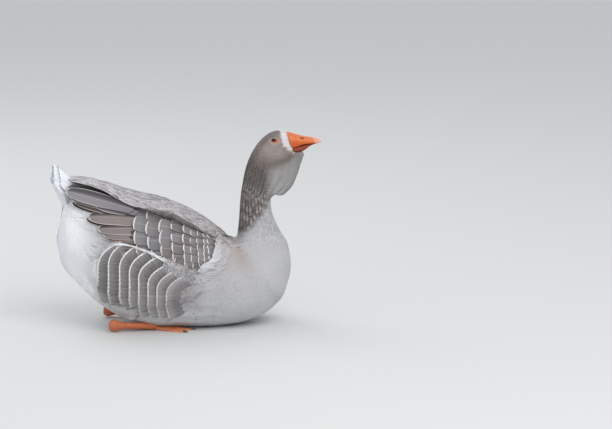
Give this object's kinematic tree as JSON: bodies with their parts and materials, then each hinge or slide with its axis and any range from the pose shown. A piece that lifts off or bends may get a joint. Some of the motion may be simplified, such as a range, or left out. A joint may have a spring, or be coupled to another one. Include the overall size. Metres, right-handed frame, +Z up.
{
  "type": "domestic goose",
  "caption": "Life-size still model of a grey dewlapped domestic goose with orange bill and feet, sitting on its belly with neck upright, wings folded and feet tucked under.",
  "frame": {"origin": "middle of the footprint of the overall box, on the floor plane the belly lies on", "axes": "+X forward along the bill, +Y to the goose's left, +Z up"},
  "size_m": [0.5403, 0.237, 0.3838],
  "materials": {
    "grey_plumage": "matte layered feathers, grey-brown with pale edges",
    "pale_plumage": "matte soft feathers, pale grey to white",
    "white_plumage": "matte white feathers",
    "bill_horn": "satin orange horn, pinkish white nail",
    "orange_skin": "scaly orange skin of shanks and webs",
    "dark_eye": "wet dark brown eye"
  },
  "bodies": {
    "root": {"trunk": "pale_plumage", "neck": "grey_plumage", "head": "grey_plumage", "dewlap": "grey_plumage", "bill_upper": "bill_horn", "bill_lower": "bill_horn", "eye_left": "dark_eye", "eye_right": "dark_eye", "tail": "white_plumage", "wing_left": "grey_plumage", "wing_right": "grey_plumage", "flank_left": "grey_plumage", "flank_right": "grey_plumage", "thigh_left": "pale_plumage", "thigh_right": "pale_plumage", "shank_left": "orange_skin", "shank_right": "orange_skin", "foot_left": "orange_skin", "foot_right": "orange_skin"}
  },
  "joints": []
}
